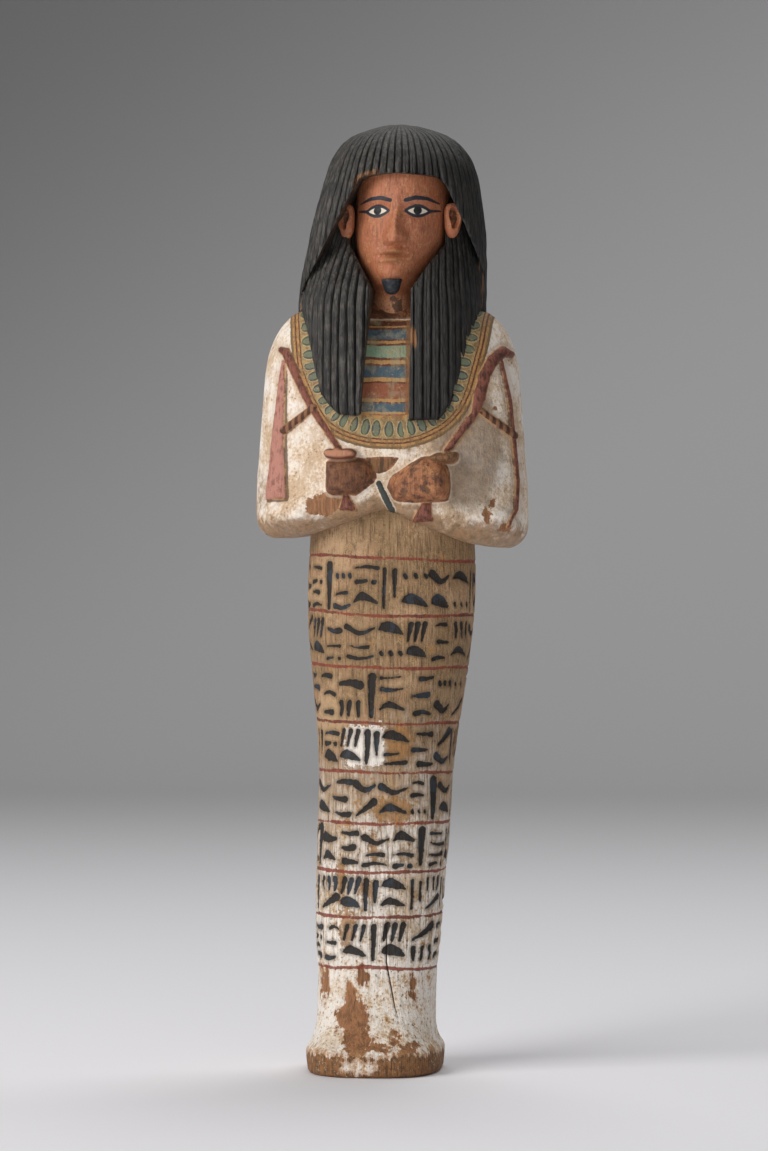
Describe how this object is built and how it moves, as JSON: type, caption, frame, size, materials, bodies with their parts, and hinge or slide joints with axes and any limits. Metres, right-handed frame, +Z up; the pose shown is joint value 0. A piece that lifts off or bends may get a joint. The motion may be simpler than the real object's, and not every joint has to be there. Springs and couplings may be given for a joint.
{
  "type": "ushabti figurine",
  "caption": "Carved and painted wooden mummy-shaped figurine with crossed hands holding hoes, a layered wig and a flared foot that it stands on.",
  "frame": {"origin": "middle of the bounding box at the underside of the foot", "axes": "+Z up along the standing figure, -Y the way the figure faces, +X towards the figure's left"},
  "size_m": [0.0656, 0.0468, 0.228],
  "materials": {
    "painted_wood": "matte paint over worn gesso on carved wood"
  },
  "bodies": {
    "root": {"figurine": "painted_wood"}
  },
  "joints": []
}
